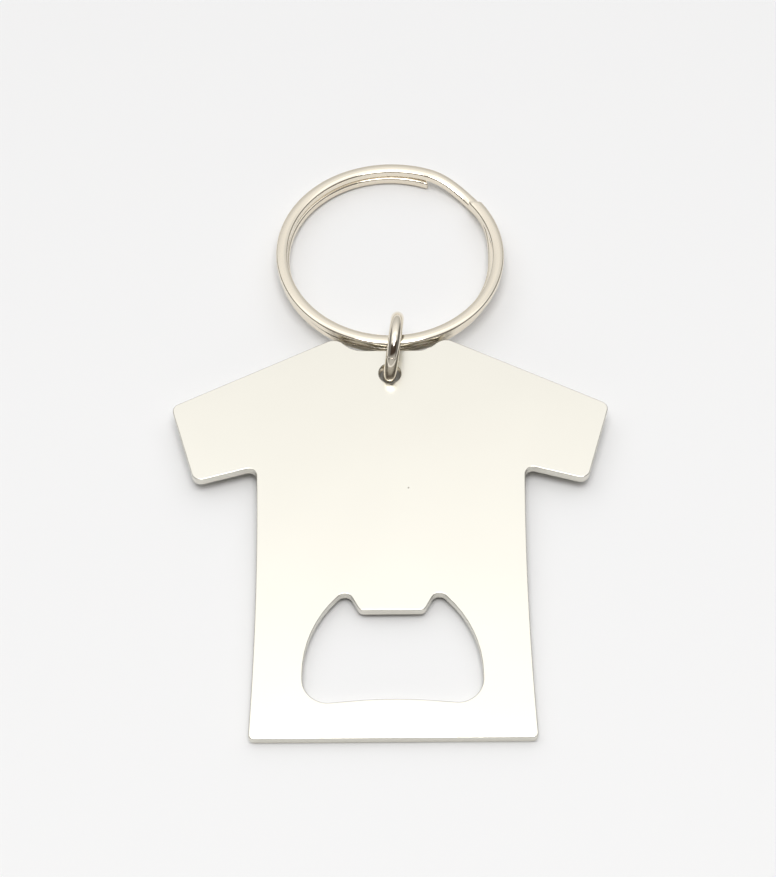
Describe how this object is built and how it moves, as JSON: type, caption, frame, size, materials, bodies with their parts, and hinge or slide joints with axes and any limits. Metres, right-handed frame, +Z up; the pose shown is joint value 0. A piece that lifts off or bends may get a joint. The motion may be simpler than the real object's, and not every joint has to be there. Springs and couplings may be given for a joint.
{
  "type": "keychain bottle opener",
  "caption": "Shirt-shaped flat steel bottle opener with a cap mouth, hung by a round wire jump ring from a wound split key ring.",
  "frame": {"origin": "on the table, under the middle of the whole object as it lies", "axes": "+X across the shirt towards its left sleeve as worn facing up, +Y from the hem to the collar and on to the split ring, +Z up from the table"},
  "size_m": [0.059, 0.0889, 0.01],
  "materials": {
    "plate_steel": "tumbled and polished stainless steel with a soft satin sheen",
    "ring_nickel": "bright nickel plate on steel wire"
  },
  "bodies": {
    "opener_plate": {"opener_plate": "plate_steel"},
    "jump_ring": {"jump_ring": "ring_nickel"},
    "split_ring": {"split_ring": "ring_nickel"}
  },
  "joints": [
    {"name": "jump_ring_swing", "type": "hinge", "parent": "opener_plate", "child": "jump_ring", "pos_m": [0, 0.01148, 0.00333], "axis": [1, 0, 0], "range_deg": [-108, 0]},
    {"name": "split_ring_swing", "type": "hinge", "parent": "jump_ring", "child": "split_ring", "pos_m": [0.0005, 0.0123, 0.00499], "axis": [1, 0, 0], "range_deg": [0, 155]}
  ]
}
